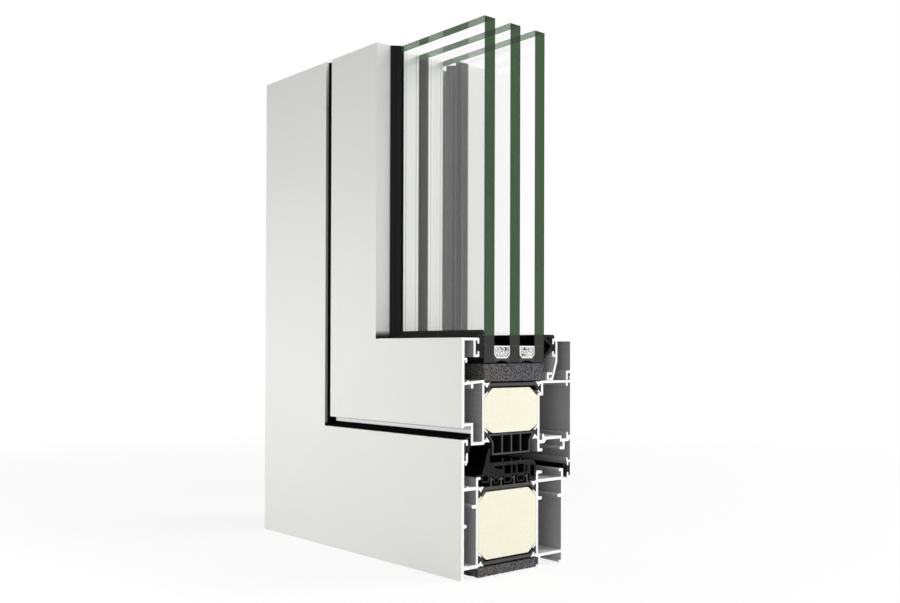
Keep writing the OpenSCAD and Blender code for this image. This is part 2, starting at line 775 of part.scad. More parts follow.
module inside_glazing_gasket_section() {
    back = bead_face - fit;
    low = sash_top - channel_total;
    cap = sash_top + bite;
    rest = sash_top - 2 * gasket_skin;
    gasket_anchor(bead_wall - wall, sash_top, -1, fit * 2);
    difference() {
        outline([
            [glass_back, cap + 2 * bite], [bead_face + bite, cap + 2 * bite], [bead_face + 2 * bite, cap + bite],
            [bead_face + 2.4 * bite, cap], [bead_face + 2 * bite, sash_top + fit], [back, sash_top + fit],
            [back, low + 2 * rib], [glass_back + bite, low - bite], [glass_back, low + bite],
            [back - gasket_skin, low + 3 * rib], [back - 2.4 * gasket_skin, rest - gasket_skin],
            [glass_back, sash_top - bite]
        ]);
        outline([
            [glass_back + gasket_skin * 1.4, cap], [bead_face - 2.6 * gasket_skin, cap],
            [bead_face - 2.6 * gasket_skin, rest + gasket_skin / 2]
        ]);
        block(back - 1.8 * gasket_skin, rest - gasket_skin / 2, back - 0.9 * gasket_skin, cap);
    }
}

module glazing_bead_section() {
    middle = bead_wall - wall / 2;
    seat = rebate_low + wall + fit;
    knee = glass_edge + fit * 3;
    heel = bead_face - fit;
    foot = sash_skin - bead_leg + wall / 2;
    shelf = seat + bead_catch;
    block(bead_face + lip, sash_top - wall, sash_depth, sash_top);
    gasket_channel(bead_wall - wall, sash_top, -1);
    strip([
        [middle, sash_top - wall / 2], [middle, knee], [heel, seat + wall / 2],
        [heel - rib + wall / 4, seat + wall / 2]
    ], wall);
    block(sash_skin, seat, sash_depth, sash_top);
    strip([[sash_depth - wall, shelf], [foot, shelf], [foot, seat + wall / 2]], wall);
    strip([[sash_skin + wall / 2, seat + wall], [sash_skin, seat + wall]], wall);
}

module overlap_gasket_section() {
    start = frame_depth + fit;
    end = sash_skin - channel_depth - fit;
    low = overlap_low + stem;
    high = overlap_low + channel_total - lip - stem;
    gasket_anchor(sash_skin, overlap_low + channel_total, -1, fit * 2);
    difference() {
        round_block(start, low, end, high, gasket_skin);
        block(start + loop_skin, low + gasket_skin, end - loop_skin, high - gasket_skin);
    }
}

// Glazing unit

module glass_pane(y) {
    centred()
        translate([glass_edge, y, glass_edge])
            cube([sample_length - glass_edge, pane, sample_height - glass_edge]);
}

// Outline of the spacer tube: square above, chamfered below
module spacer_outline(y, inset) {
    low = glass_edge + sealant + inset;
    high = glass_edge + sealant + spacer_height - inset;
    chamfer = 2.1 - inset * 0.6;
    outline([
        [y + inset, high], [y + inset, low + chamfer], [y + inset + chamfer, low],
        [y + cavity - inset - chamfer, low], [y + cavity - inset, low + chamfer], [y + cavity - inset, high]
    ]);
}

module spacer_section(y) {
    difference() {
        spacer_outline(y, 0);
        spacer_outline(y, spacer_wall);
    }
}

// Sealant fills the cavity below the spacer, with a hollow underside
module sealant_section(y) {
    dip = 1.2;
    width = cavity - 2;
    radius = (width * width / 4 + dip * dip) / (2 * dip);
    difference() {
        block(y, glass_edge, y + cavity, glass_edge + sealant + 2.1);
        spacer_outline(y, 0);
        translate([y + cavity / 2, glass_edge + dip - radius]) circle(r = radius, $fn = 96);
        block(y - 1, glass_edge + sealant + 2.1, y + cavity + 1, glass_edge + sealant + 3);
    }
}

// An L-shaped corner cleat in the chambers of two legs, hollow in both arms
module corner_cleat(y0, y1, z0, z1) {
    low = z0 + fit;
    high = z1 - fit;
    arm = low + cleat_arm;
    centred()
        translate([0, y1 - fit, 0])
            rotate([90, 0, 0])
                linear_extrude(y1 - y0 - 2 * fit)
                    difference() {
                        outline([
                            [low, low], [arm, low], [arm, high], [high, high], [high, arm], [low, arm]
                        ]);
                        translate([high, low + cleat_wall])
                            square([arm - high - cleat_wall, high - low - 2 * cleat_wall]);
                        translate([low + cleat_wall, high])
                            square([high - low - 2 * cleat_wall, arm - high - cleat_wall]);
                    }
}

// Sub-parts

module frame_outside_profile_bottom() {
    color(paint) bottom_leg() frame_outside_section();
}

module frame_outside_profile_left() {
    color(paint) left_leg() frame_outside_section();
}

module frame_inside_profile_bottom() {
    color(paint) bottom_leg() frame_inside_section();
}

module frame_inside_profile_left() {
    color(paint) left_leg() frame_inside_section();
}

module frame_upper_bar_bottom() {
    color(plastic) bottom_leg() frame_upper_bar_section();
}

module frame_upper_bar_left() {
    color(plastic) left_leg() frame_upper_bar_section();
}

module frame_lower_bar_bottom() {
    color(plastic) bottom_leg() frame_lower_bar_section();
}

module frame_lower_bar_left() {
    color(plastic) left_leg() frame_lower_bar_section();
}

module frame_foam_core_bottom() {
    color(cream) bottom_leg() frame_core_section();
}

module frame_foam_core_left() {
    color(cream) left_leg() frame_core_section();
}

module base_foam_strip_bottom() {
    color(dark_foam) bottom_leg() base_foam_section();
}

module base_foam_strip_left() {
    color(dark_foam) left_leg() base_foam_section();
}

module centre_gasket_bottom() {
    color(rubber) bottom_leg() centre_gasket_section();
}

module centre_gasket_left() {
    color(rubber) left_leg() centre_gasket_section();
}

module frame_outside_gasket_bottom() {
    color(rubber) bottom_leg() frame_outside_gasket_section();
}

module frame_outside_gasket_left() {
    color(rubber) left_leg() frame_outside_gasket_section();
}

module sash_outside_profile_bottom() {
    color(paint) bottom_leg() sash_outside_section();
}

module sash_outside_profile_left() {
    color(paint) left_leg() sash_outside_section();
}

module sash_inside_profile_bottom() {
    color(paint) bottom_leg() sash_inside_section();
}

module sash_inside_profile_left() {
    color(paint) left_leg() sash_inside_section();
}

module sash_upper_bar_bottom() {
    color(plastic) bottom_leg() sash_upper_bar_section();
}

module sash_upper_bar_left() {
    color(plastic) left_leg() sash_upper_bar_section();
}

module sash_lower_bar_bottom() {
    color(plastic) bottom_leg() sash_lower_bar_section();
}

module sash_lower_bar_left() {
    color(plastic) left_leg() sash_lower_bar_section();
}

module sash_foam_core_bottom() {
    color(cream) bottom_leg() sash_core_section();
}

module sash_foam_core_left() {
    color(cream) left_leg() sash_core_section();
}

module glazing_foam_strip_bottom() {
    color(dark_foam) bottom_leg() glazing_foam_section();
}

module glazing_foam_strip_left() {
    color(dark_foam) left_leg() glazing_foam_section();
}

module outside_glazing_gasket_bottom() {
    color(rubber) bottom_leg() outside_glazing_gasket_section();
}

module outside_glazing_gasket_left() {
    color(rubber) left_leg() outside_glazing_gasket_section();
}

module inside_glazing_gasket_bottom() {
    color(rubber) bottom_leg() inside_glazing_gasket_section();
}

module inside_glazing_gasket_left() {
    color(rubber) left_leg() inside_glazing_gasket_section();
}

module glazing_bead_bottom() {
    color(paint) bottom_leg() glazing_bead_section();
}

module glazing_bead_left() {
    color(paint) left_leg() glazing_bead_section();
}

module overlap_gasket_bottom() {
    color(rubber) bottom_leg() overlap_gasket_section();
}

module overlap_gasket_left() {
    color(rubber) left_leg() overlap_gasket_section();
}

module glass_pane_outside() {
    color(glass_green) glass_pane(glass_set);
}

module glass_pane_middle() {
    color(glass_green) glass_pane(glass_set + pane + cavity);
}

module glass_pane_inside() {
    color(glass_green) glass_pane(glass_back - pane);
}

module spacer_outside() {
    color(spacer_white) round_corner() spacer_section(glass_set + pane);
}

module spacer_inside() {
    color(spacer_white) round_corner() spacer_section(glass_back - pane - cavity);
}

module desiccant_outside() {
    color(granule) round_corner() spacer_outline(glass_set + pane, spacer_wall);
}

module desiccant_inside() {
    color(granule) round_corner() spacer_outline(glass_back - pane - cavity, spacer_wall);
}

module edge_sealant_outside() {
    color(sealant_grey) round_corner() sealant_section(glass_set + pane);
}

module edge_sealant_inside() {
    color(sealant_grey) round_corner() sealant_section(glass_back - pane - cavity);
}

module frame_outside_cleat() {
    color(bare_metal)
        corner_cleat(face_wall + rib, frame_out - wall, frame_foot + face_wall + 1.1, frame_top - rib_drop - rib);
}

module frame_inside_cleat() {
    color(bare_metal)
        corner_cleat(frame_inner + inside_wall, frame_depth - inside_wall, frame_foot + inside_wall,
            frame_top - rib_drop - rib);
}

module sash_outside_cleat() {
    color(bare_metal)
        corner_cleat(face_wall, sash_out - wall, sash_low + 1 + inside_wall, rebate_low - rib);
}

module sash_inside_cleat() {
    color(bare_metal)
        corner_cleat(sash_inner + inside_wall, sash_skin, hardware_floor + wall * 2.4,
            sash_upper - claw_root);
}

frame_outside_profile_bottom();
frame_outside_profile_left();
frame_inside_profile_bottom();
frame_inside_profile_left();
frame_upper_bar_bottom();
frame_upper_bar_left();
frame_lower_bar_bottom();
frame_lower_bar_left();
frame_foam_core_bottom();
frame_foam_core_left();
base_foam_strip_bottom();
base_foam_strip_left();
centre_gasket_bottom();
centre_gasket_left();
frame_outside_gasket_bottom();
frame_outside_gasket_left();
sash_outside_profile_bottom();
sash_outside_profile_left();
sash_inside_profile_bottom();
sash_inside_profile_left();
sash_upper_bar_bottom();
sash_upper_bar_left();
sash_lower_bar_bottom();
sash_lower_bar_left();
sash_foam_core_bottom();
sash_foam_core_left();
glazing_foam_strip_bottom();
glazing_foam_strip_left();
outside_glazing_gasket_bottom();
outside_glazing_gasket_left();
inside_glazing_gasket_bottom();
inside_glazing_gasket_left();
glazing_bead_bottom();
glazing_bead_left();
overlap_gasket_bottom();
overlap_gasket_left();
glass_pane_outside();
glass_pane_middle();
glass_pane_inside();
spacer_outside();
spacer_inside();
desiccant_outside();
desiccant_inside();
edge_sealant_outside();
edge_sealant_inside();
frame_outside_cleat();
frame_inside_cleat();
sash_outside_cleat();
sash_inside_cleat();
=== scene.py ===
# %% [markdown]
# A window corner sample in cells
#
# The real object is the bottom left corner of an aluminium window, sawn off square so that a buyer can
# see its inside: two hollow frames, plastic bars and foam that keep the cold out, rubber seals and three
# panes of glass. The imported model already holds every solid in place. What is missing is the look of
# each material, so this lesson loads the model, gives every piece its own finish, adds the loose and
# porous things that a solid can't show, and lights the whole as in a plain studio.

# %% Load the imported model
import json
import math
import random

import bmesh
import bpy
from mathutils import Matrix, Vector, noise


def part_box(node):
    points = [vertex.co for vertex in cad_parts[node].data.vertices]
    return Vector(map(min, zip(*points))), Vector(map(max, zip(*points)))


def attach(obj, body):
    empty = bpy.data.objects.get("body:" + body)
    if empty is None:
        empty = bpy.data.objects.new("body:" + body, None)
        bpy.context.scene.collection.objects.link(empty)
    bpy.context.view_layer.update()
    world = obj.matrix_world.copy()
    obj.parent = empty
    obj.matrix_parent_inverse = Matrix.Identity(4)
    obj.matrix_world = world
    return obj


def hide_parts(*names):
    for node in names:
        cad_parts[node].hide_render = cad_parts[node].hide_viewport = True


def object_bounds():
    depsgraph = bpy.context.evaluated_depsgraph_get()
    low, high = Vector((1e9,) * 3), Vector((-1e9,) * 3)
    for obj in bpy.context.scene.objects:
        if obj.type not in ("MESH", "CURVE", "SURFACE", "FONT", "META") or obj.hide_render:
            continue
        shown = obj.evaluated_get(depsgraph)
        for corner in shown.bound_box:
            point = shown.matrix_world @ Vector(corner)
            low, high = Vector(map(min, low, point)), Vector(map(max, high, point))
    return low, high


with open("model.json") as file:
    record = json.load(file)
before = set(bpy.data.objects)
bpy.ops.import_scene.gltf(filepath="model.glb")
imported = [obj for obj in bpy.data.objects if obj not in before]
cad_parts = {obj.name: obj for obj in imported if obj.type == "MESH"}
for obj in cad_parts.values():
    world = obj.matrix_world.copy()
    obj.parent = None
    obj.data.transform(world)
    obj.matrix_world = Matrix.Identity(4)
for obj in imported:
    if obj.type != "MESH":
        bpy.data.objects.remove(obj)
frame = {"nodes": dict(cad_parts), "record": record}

solids_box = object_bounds()
pieces = frame["nodes"]
box_size = [round(side, 4) for side in solids_box[1] - solids_box[0]]
print("pieces of the window:", len(pieces), "in a box of", box_size, "m")

# %% [markdown]
# Where the sample ends
#
# The two legs were cut with a saw: the bottom leg at its right end and the left leg at its top. Many of
# the finishes below have to know where those cuts are, and how far a point lies from the outer edge of
# the window. The corner is mitred, so that distance is the smaller of the two distances from the left
# side and from the floor. All of these come from the model's own box, so nothing is typed in twice.

# %% Measure the sample
millimetre = 0.001
low_corner, high_corner = solids_box
left_side = low_corner.x
outside_face = low_corner.y
sawn_right = high_corner.x
sawn_top = high_corner.z
hair = 0.05 * millimetre
print("sawn ends at x", round(sawn_right, 4), "and z", round(sawn_top, 4))

# %% [markdown]
# Helpers for building a finish
#
# A finish in Blender is a tree of small nodes. It could be drawn by hand in the shader editor, but a
# script keeps it repeatable. These helpers add one node and set or wire its inputs in a single line: a
# plain value is set on the socket itself, and a socket is wired. Many of them work on shares, which are 1
# where something holds and 0 where it doesn't, so two shares are joined by multiplying them or by taking
# the larger one.

# %% Make the node helpers


def add_node(tree, kind, inputs=None, **settings):
    made = tree.nodes.new(kind)
    for name, value in settings.items():
        setattr(made, name, value)
    for name, value in (inputs or {}).items():
        if isinstance(value, bpy.types.NodeSocket):
            tree.links.new(value, made.inputs[name])
        else:
            made.inputs[name].default_value = value
    return made


def maths(tree, operation, first, second=0.0):
    return add_node(tree, "ShaderNodeMath", {0: first, 1: second}, operation=operation).outputs[0]


def above(tree, value, limit):
    return maths(tree, "GREATER_THAN", value, limit)


def below(tree, value, limit):
    return maths(tree, "LESS_THAN", value, limit)


def both(tree, share_a, share_b):
    return maths(tree, "MULTIPLY", share_a, share_b)


def within(tree, value, low, high):
    return both(tree, above(tree, value, low), below(tree, value, high))


def larger(tree, value_a, value_b):
    return maths(tree, "MAXIMUM", value_a, value_b)


def rest_of(tree, share):
    return maths(tree, "SUBTRACT", 1.0, share)


def ramp(tree, value, start, end, low=0.0, high=1.0):
    """Goes from low to high while the value goes from start to end, and stays level outside."""
    return add_node(tree, "ShaderNodeMapRange", {
        "Value": value, "From Min": start, "From Max": end, "To Min": low, "To Max": high}).outputs[0]


def between(tree, share, colour_a, colour_b):
    mixed = add_node(tree, "ShaderNodeMix", {0: share, 6: colour_a, 7: colour_b}, data_type="RGBA")
    return mixed.outputs[2]


def either(tree, share, value_a, value_b):
    return add_node(tree, "ShaderNodeMix", {0: share, 2: value_a, 3: value_b}, data_type="FLOAT").outputs[0]


def blend(tree, share, shader_a, shader_b):
    return add_node(tree, "ShaderNodeMixShader", {0: share, 1: shader_a, 2: shader_b}).outputs[0]


def grey(level):
    return (level, level, level, 1.0)


def new_finish(name):
    finish = bpy.data.materials.new(name)
    finish.use_nodes = True
    finish.node_tree.nodes.clear()
    return finish, finish.node_tree


def show(tree, shader):
    add_node(tree, "ShaderNodeOutputMaterial", {"Surface": shader})


print("node helpers ready")

# %% [markdown]
# Finding the sawn ends and the run of a profile inside a finish
#
# An extruded profile has die lines along its length, and its sawn end is bare and bright. One way is to
# split each mesh into painted and bare faces, but the solids are to stay as they are. So the finish asks
# each point where it is: a face that looks along +X at the right end, or up at the top, is a sawn face.
# The same place gives the section of the profile, across which die lines are fine, and its run, along
# which they stretch.

# %% Make the place helpers
squarely = 0.9
mostly = 0.5


def place_of(tree):
    spot = add_node(tree, "ShaderNodeTexCoord").outputs["Object"]
    along = add_node(tree, "ShaderNodeSeparateXYZ", {0: spot})
    true_normal = add_node(tree, "ShaderNodeNewGeometry").outputs["True Normal"]
    looks = add_node(tree, "ShaderNodeSeparateXYZ", {0: true_normal})
    from_left = maths(tree, "SUBTRACT", along.outputs["X"], left_side)
    height = along.outputs["Z"]
    return {
        "spot": spot,
        "depth": maths(tree, "SUBTRACT", along.outputs["Y"], outside_face),
        "edge": maths(tree, "MINIMUM", from_left, height),
        "run": larger(tree, from_left, height),
        "on_bottom_leg": above(tree, from_left, height),
        "x": along.outputs["X"],
        "z": height,
        "looks_x": looks.outputs["X"],
        "looks_y": looks.outputs["Y"],
        "looks_z": looks.outputs["Z"],
    }


def sawn_share(tree, place):
    at_right = above(tree, place["x"], sawn_right - hair)
    at_top = above(tree, place["z"], sawn_top - hair)
    right = both(tree, at_right, above(tree, place["looks_x"], squarely))
    top = both(tree, at_top, above(tree, place["looks_z"], squarely))
    return larger(tree, right, top)


def run_stretched(tree, place, stretch):
    run = maths(tree, "MULTIPLY", place["run"], stretch)
    return add_node(tree, "ShaderNodeCombineXYZ", {0: place["edge"], 1: place["depth"], 2: run}).outputs[0]


def speckle(tree, vector, scale, detail=2.0, roughness=0.5):
    return add_node(tree, "ShaderNodeTexNoise", {
        "Vector": vector, "Scale": scale, "Detail": detail, "Roughness": roughness}).outputs["Fac"]


def relief(tree, height, strength, depth):
    return add_node(tree, "ShaderNodeBump", {
        "Height": height, "Strength": strength, "Distance": depth}).outputs["Normal"]


print("place helpers ready")

# %% [markdown]
# Where the coat lies
#
# The frame, the sash and the glazing beads are aluminium extrusions. They are coated where they can be
# seen, and bare in their closed chambers. So their finish has to know which faces carry the coat: those
# that look out of the window or into the room, those in the joint between frame and sash, and those
# around the glass. Each is found by its depth and its distance from the outer edge. The limits come from
# the boxes of the solids, and a few sizes within a section are given in millimetres.

# %% Find the coated faces
inside_depth = high_corner.y - outside_face
frame_inside_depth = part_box("frame_inside_profile_bottom")[1].y - outside_face
frame_inside_height = 56.4 * millimetre
frame_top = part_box("frame_outside_profile_bottom")[1].z
sash_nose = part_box("sash_outside_profile_bottom")[0].z
sash_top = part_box("sash_outside_profile_bottom")[1].z
rebate_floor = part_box("glazing_foam_strip_bottom")[0].z
glass_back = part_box("glass_pane_inside")[1].y - outside_face
bead_room = 11.0 * millimetre
bead_depths = (glass_back, glass_back + bead_room)
coat_skin = 0.2 * millimetre
lip_skin = 0.1 * millimetre
nose_depth = 7.1 * millimetre
seal_mark = 1.9 * millimetre
seal_corner = 2.2 * millimetre
joint_height = 6.8 * millimetre
joint_top = frame_top + joint_height
# Height of the band of painted shadow on the sash nose, under the overhanging face.
overhang_shadow_band = 1.8 * millimetre
nose_shade = joint_top - overhang_shadow_band
# Reach from the corner over which the reveal is painted dark, as painted shade.
corner_shade_reach = 5.0 * millimetre
shade_fade = 2.0
seal_shadow = 0.9 * millimetre
# Reach below the top over which the lip edge is painted lighter, as painted light.
top_light_reach = 30.0 * millimetre


def behind_glass(tree, place):
    return above(tree, place["depth"], 0.5 * inside_depth)


def beside_glass(tree, place):
    return above(tree, place["edge"], sash_top - coat_skin)


def coated_share(tree, place):
    depth, edge = place["depth"], place["edge"]
    outside = below(tree, depth, coat_skin)
    inside = above(tree, depth, inside_depth - coat_skin)
    frame_skin = within(tree, depth, frame_inside_depth - coat_skin, frame_inside_depth + coat_skin)
    frame_inside = both(tree, frame_skin, below(tree, edge, frame_inside_height))
    joint = both(tree, within(tree, edge, sash_nose - coat_skin, joint_top), below(tree, depth, nose_depth))
    bead_back = both(tree, within(tree, depth, *bead_depths), above(tree, edge, rebate_floor))
    rebate = both(tree, bead_back, below(tree, place["looks_y"], -mostly))
    share = outside
    for more in (inside, frame_inside, beside_glass(tree, place), joint, rebate):
        share = larger(tree, share, more)
    return share


def lip_edge_share(tree, place):
    edge = within(tree, place["edge"], frame_top - lip_skin, frame_top + lip_skin)
    return both(tree, edge, within(tree, place["depth"], lip_skin, nose_depth - lip_skin))


def nose_share(tree, place):
    front = below(tree, place["looks_y"], -squarely)
    return both(tree, front, above(tree, place["depth"], 0.5 * nose_depth))


def bead_share(tree, place):
    return both(tree, behind_glass(tree, place), beside_glass(tree, place))


# Painted shade: darkens the reveal beside the glass towards its corner.
def reveal_corner_shade(tree, place):
    reveal = both(tree, beside_glass(tree, place), rest_of(tree, behind_glass(tree, place)))
    from_corner = ramp(tree, place["run"], sash_top + seal_shadow, sash_top + corner_shade_reach)
    return both(tree, reveal, rest_of(tree, maths(tree, "POWER", from_corner, shade_fade)))


print("frame face ends at", round(frame_top, 4), "and the sash hangs down to", round(sash_nose, 4))

# %% [markdown]
# Painted aluminium profiles
#
# The coat is a pale grey powder coat with a faint orange peel. Inside the chambers the metal has fine
# lines along its run from the die, and the up-facing floors of the bottom leg's chambers are painted
# pale, as painted light from above. The sawn end is bright metal with the saw's marks. All three live in
# one finish, mixed by place. The bottom leg is painted a shade darker than the left one, as painted
# shade for the sheen of a coat that lies along each leg's run, and the mitre shows as a step in tone,
# with no drawn line. In the joint between frame and sash, the edge of the frame's lip is painted dark
# grey as painted shade in the gap, lighter towards its upper end as painted light, and black where the
# seal rubs on it. The nose of the sash behind it is painted brighter than the coat, as painted light
# in the recess, with a band of painted shadow close under the face above it. The corner of the reveal
# beside the glass is painted dark, as painted shade. The glazing beads are painted paler, as painted
# light where the panes dim it, and they have a satin sheen.

# %% Make the painted aluminium finish
saw_turn = (0.6, 0.6, 0.6)
saw_stretch = (1.0, 0.06, 1.0)
floor_tilt = 0.7
mill_sheen = 0.25
bead_sheen = 0.3


def coat_colour(tree, place, bead):
    drift = speckle(tree, place["spot"], scale=18.0)
    left_coat = between(tree, drift, (0.80, 0.80, 0.783, 1.0), (0.82, 0.82, 0.803, 1.0))
    # The bottom leg's coat is painted a shade darker, as painted shade for the coat's sheen along each
    # leg's run.
    shaded_bottom_coat = between(tree, drift, (0.788, 0.790, 0.760, 1.0), (0.808, 0.810, 0.780, 1.0))
    coat = between(tree, place["on_bottom_leg"], left_coat, shaded_bottom_coat)
    rubbed = larger(tree, above(tree, place["depth"], seal_mark),
                    below(tree, place["run"], frame_top + seal_corner))
    # The lip edge is painted dark grey as painted shade in the gap, and lighter towards its top as painted
    # light.
    lit_near_top = ramp(tree, place["run"], sawn_top - top_light_reach, sawn_top)
    shaded_lip = between(tree, lit_near_top, grey(0.30), grey(0.80))
    coat = between(tree, lip_edge_share(tree, place), coat, between(tree, rubbed, shaded_lip, grey(0.002)))
    # The nose is painted brighter than the coat as painted light in the recess, with a band of painted
    # shadow under the overhang.
    nose = between(tree, above(tree, place["edge"], nose_shade), grey(0.97), grey(0.62))
    coat = between(tree, nose_share(tree, place), coat, nose)
    # The glazing beads are painted a paler coat, as painted light where the panes dim the light on them.
    coat = between(tree, bead, coat, (0.95, 0.95, 0.93, 1.0))
    return between(tree, reveal_corner_shade(tree, place), coat, grey(0.01))


def painted_aluminium():
    finish, tree = new_finish("painted_aluminium")
    place = place_of(tree)
    sawn = sawn_share(tree, place)
    coated = coated_share(tree, place)
    bead = bead_share(tree, place)
    streaks = speckle(tree, run_stretched(tree, place, 0.012), scale=2200.0, detail=3.0, roughness=0.6)
    peel = speckle(tree, place["spot"], scale=1400.0, detail=1.0)
    saw_strokes = add_node(tree, "ShaderNodeMapping", {
        "Vector": place["spot"], "Rotation": saw_turn, "Scale": saw_stretch}).outputs[0]
    saw_lines = speckle(tree, saw_strokes, scale=1800.0)

    coat = coat_colour(tree, place, bead)
    # Up-facing chamber floors in the bottom leg are painted pale, as painted light from above.
    lit_floors = both(tree, place["on_bottom_leg"], above(tree, place["looks_z"], floor_tilt))
    mill = between(tree, lit_floors, between(tree, streaks, grey(0.36), grey(0.54)), grey(0.88))
    cut = between(tree, saw_lines, grey(0.93), grey(0.98))
    colour = between(tree, sawn, between(tree, coated, mill, coat), cut)
    mill_rough = either(tree, streaks, 0.35, 0.55)
    saw_rough = either(tree, saw_lines, 0.35, 0.55)
    rough = either(tree, sawn, either(tree, coated, mill_rough, 0.45), saw_rough)
    bumps = either(tree, sawn, either(tree, coated, streaks, peel), saw_lines)
    bare = rest_of(tree, larger(tree, sawn, coated))
    metal = larger(tree, both(tree, mill_sheen, bare), both(tree, bead_sheen, bead))
    body = add_node(tree, "ShaderNodeBsdfPrincipled", {
        "Base Color": colour, "Metallic": metal, "Roughness": rough,
        "Normal": relief(tree, bumps, strength=0.06, depth=0.3 * millimetre)})
    show(tree, body.outputs[0])
    return finish


coat_finish = painted_aluminium()
print("made", coat_finish.name)

# %% [markdown]
# Insulating bars
#
# The bars between the two metal halves are of a plastic that is slow to carry heat, with short glass
# fibres in it that make it strong. A cut through them is dark grey and faintly speckled, and the fibres
# lie along the run. A noise that is stretched along the run gives that, with a roughness that follows it.
# The skin that the die left is smoother and near black, and so is the cut of the two feet, where the
# rolled claws press oil and soot into the plastic. The feet are found by the bar's own box, in which
# they take a tenth of the depth at each end.

# %% Make the insulating bar finish
foot_share = 0.1
foot_fade = (0.5 * foot_share, 1.1 * foot_share)


def insulating_bar():
    finish, tree = new_finish("insulating_bar")
    place = place_of(tree)
    fibres = speckle(tree, run_stretched(tree, place, 0.05), scale=2600.0, detail=3.0, roughness=0.65)
    in_box = add_node(tree, "ShaderNodeTexCoord").outputs["Generated"]
    across = add_node(tree, "ShaderNodeSeparateXYZ", {0: in_box}).outputs["Y"]
    from_end = maths(tree, "MINIMUM", across, rest_of(tree, across))
    body_share = ramp(tree, from_end, *foot_fade)
    cut_share = both(tree, sawn_share(tree, place), body_share)
    skin = between(tree, fibres, grey(0.003), grey(0.007))
    colour = between(tree, cut_share, skin, between(tree, fibres, grey(0.036), grey(0.066)))
    body = add_node(tree, "ShaderNodeBsdfPrincipled", {
        "Base Color": colour, "Roughness": either(tree, fibres, 0.42, 0.67),
        "Normal": relief(tree, fibres, strength=0.12, depth=0.2 * millimetre)})
    show(tree, body.outputs[0])
    return finish


bar_finish = insulating_bar()
print("made", bar_finish.name)

# %% [markdown]
# Gasket rubber
#
# The seals are extruded from black rubber, matt with a slight bloom. Plain black would look like a hole,
# so the colour drifts a little between two near blacks, and the die leaves soft lines along the run that
# are wide enough to see. The seals beside the glass are in the open and have greyed a little, and those
# in the joint are painted a deeper black, as painted shade in the narrow joint. Where the saw went
# through, the rubber is rubbed and greyer. The big centre gasket has a body of sponge rubber, so that it
# gives easily, and its cut is grained.

# %% Make the rubber finish
glazing_drop = 18.0 * millimetre
line_contrast = (0.35, 0.65)
grain_contrast = (0.38, 0.62)
gasket_low, gasket_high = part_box("centre_gasket_bottom")
sponge_edges = (0.5 * (gasket_low.z + gasket_high.z), gasket_high.z)
sponge_depths = (0.7 * gasket_low.y + 0.3 * gasket_high.y - outside_face, gasket_high.y - outside_face)


def rubber_skin(tree, place, lines):
    die_lines = ramp(tree, lines, *line_contrast)
    # The seals in the joint are painted a deeper black than the others, as painted shade in the narrow
    # joint.
    joint = between(tree, die_lines, grey(0.0008), grey(0.0025))
    outside = between(tree, die_lines, grey(0.016), grey(0.022))
    inside = between(tree, die_lines, grey(0.002), grey(0.085))
    inside = between(tree, place["on_bottom_leg"], inside, grey(0.003))
    glazing = between(tree, behind_glass(tree, place), outside, inside)
    return between(tree, above(tree, place["edge"], sash_top - glazing_drop), joint, glazing)


def gasket_rubber():
    finish, tree = new_finish("rubber")
    place = place_of(tree)
    bloom = speckle(tree, place["spot"], scale=90.0, detail=3.0, roughness=0.6)
    lines = speckle(tree, run_stretched(tree, place, 0.002), scale=450.0, detail=1.0)
    grain = ramp(tree, speckle(tree, place["spot"], scale=1000.0, roughness=0.7), *grain_contrast)
    sponge = between(tree, grain, grey(0.012), (0.050, 0.048, 0.045, 1.0))
    is_sponge = both(tree, within(tree, place["edge"], *sponge_edges),
                     within(tree, place["depth"], *sponge_depths))
    rubbed = between(tree, is_sponge, between(tree, bloom, grey(0.020), grey(0.028)), sponge)
    colour = between(tree, sawn_share(tree, place), rubber_skin(tree, place, lines), rubbed)
    body = add_node(tree, "ShaderNodeBsdfPrincipled", {
        "Base Color": colour, "Roughness": either(tree, bloom, 0.45, 0.65), "Specular IOR Level": 0.02,
        "Normal": relief(tree, lines, strength=0.15, depth=0.2 * millimetre)})
    show(tree, body.outputs[0])
    return finish


rubber_finish = gasket_rubber()
print("made", rubber_finish.name)

# %% [markdown]
# Cream foam
#
# The chambers between the bars are filled with a cream closed-cell foam. Its sawn face is smooth, with
# tiny cells that show as a faint speckle. Cells are round and touch each other, which is what a Voronoi
# texture draws, so it sets both the speckle and the relief.

# %% Make the cream foam finish


def cream_foam():
    finish, tree = new_finish("cream_foam")
    place = place_of(tree)
    cells = add_node(tree, "ShaderNodeTexVoronoi", {
        "Vector": place["spot"], "Scale": 1100.0}).outputs["Distance"]
    cloud = speckle(tree, place["spot"], scale=260.0, detail=3.0, roughness=0.6)
    fleck = either(tree, 0.5, cells, cloud)
    colour = between(tree, fleck, (0.86, 0.835, 0.65, 1.0), (0.95, 0.93, 0.78, 1.0))
    body = add_node(tree, "ShaderNodeBsdfPrincipled", {
        "Base Color": colour, "Roughness": 0.85, "Specular IOR Level": 0.2,
        "Normal": relief(tree, cells, strength=0.25, depth=0.4 * millimetre)})
    show(tree, body.outputs[0])
    return finish


cream_finish = cream_foam()
print("made", cream_finish.name)

# %% [markdown]
# Dark foam
#
# A strip of dark open foam lies under the glass and another under the frame. Its cells are large enough
# to see: dark pits with paler walls, a few of them brownish or bluish. Two noises at the size of the
# cells give the pale walls and the tint. Foam yellows in the sun, so its outer side is the browner one.
# The pits themselves come as real hollows in a later cell.

# %% Make the dark foam finish
foam_sides = [corner.y - outside_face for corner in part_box("glazing_foam_strip_bottom")]
sun_tint = 0.12


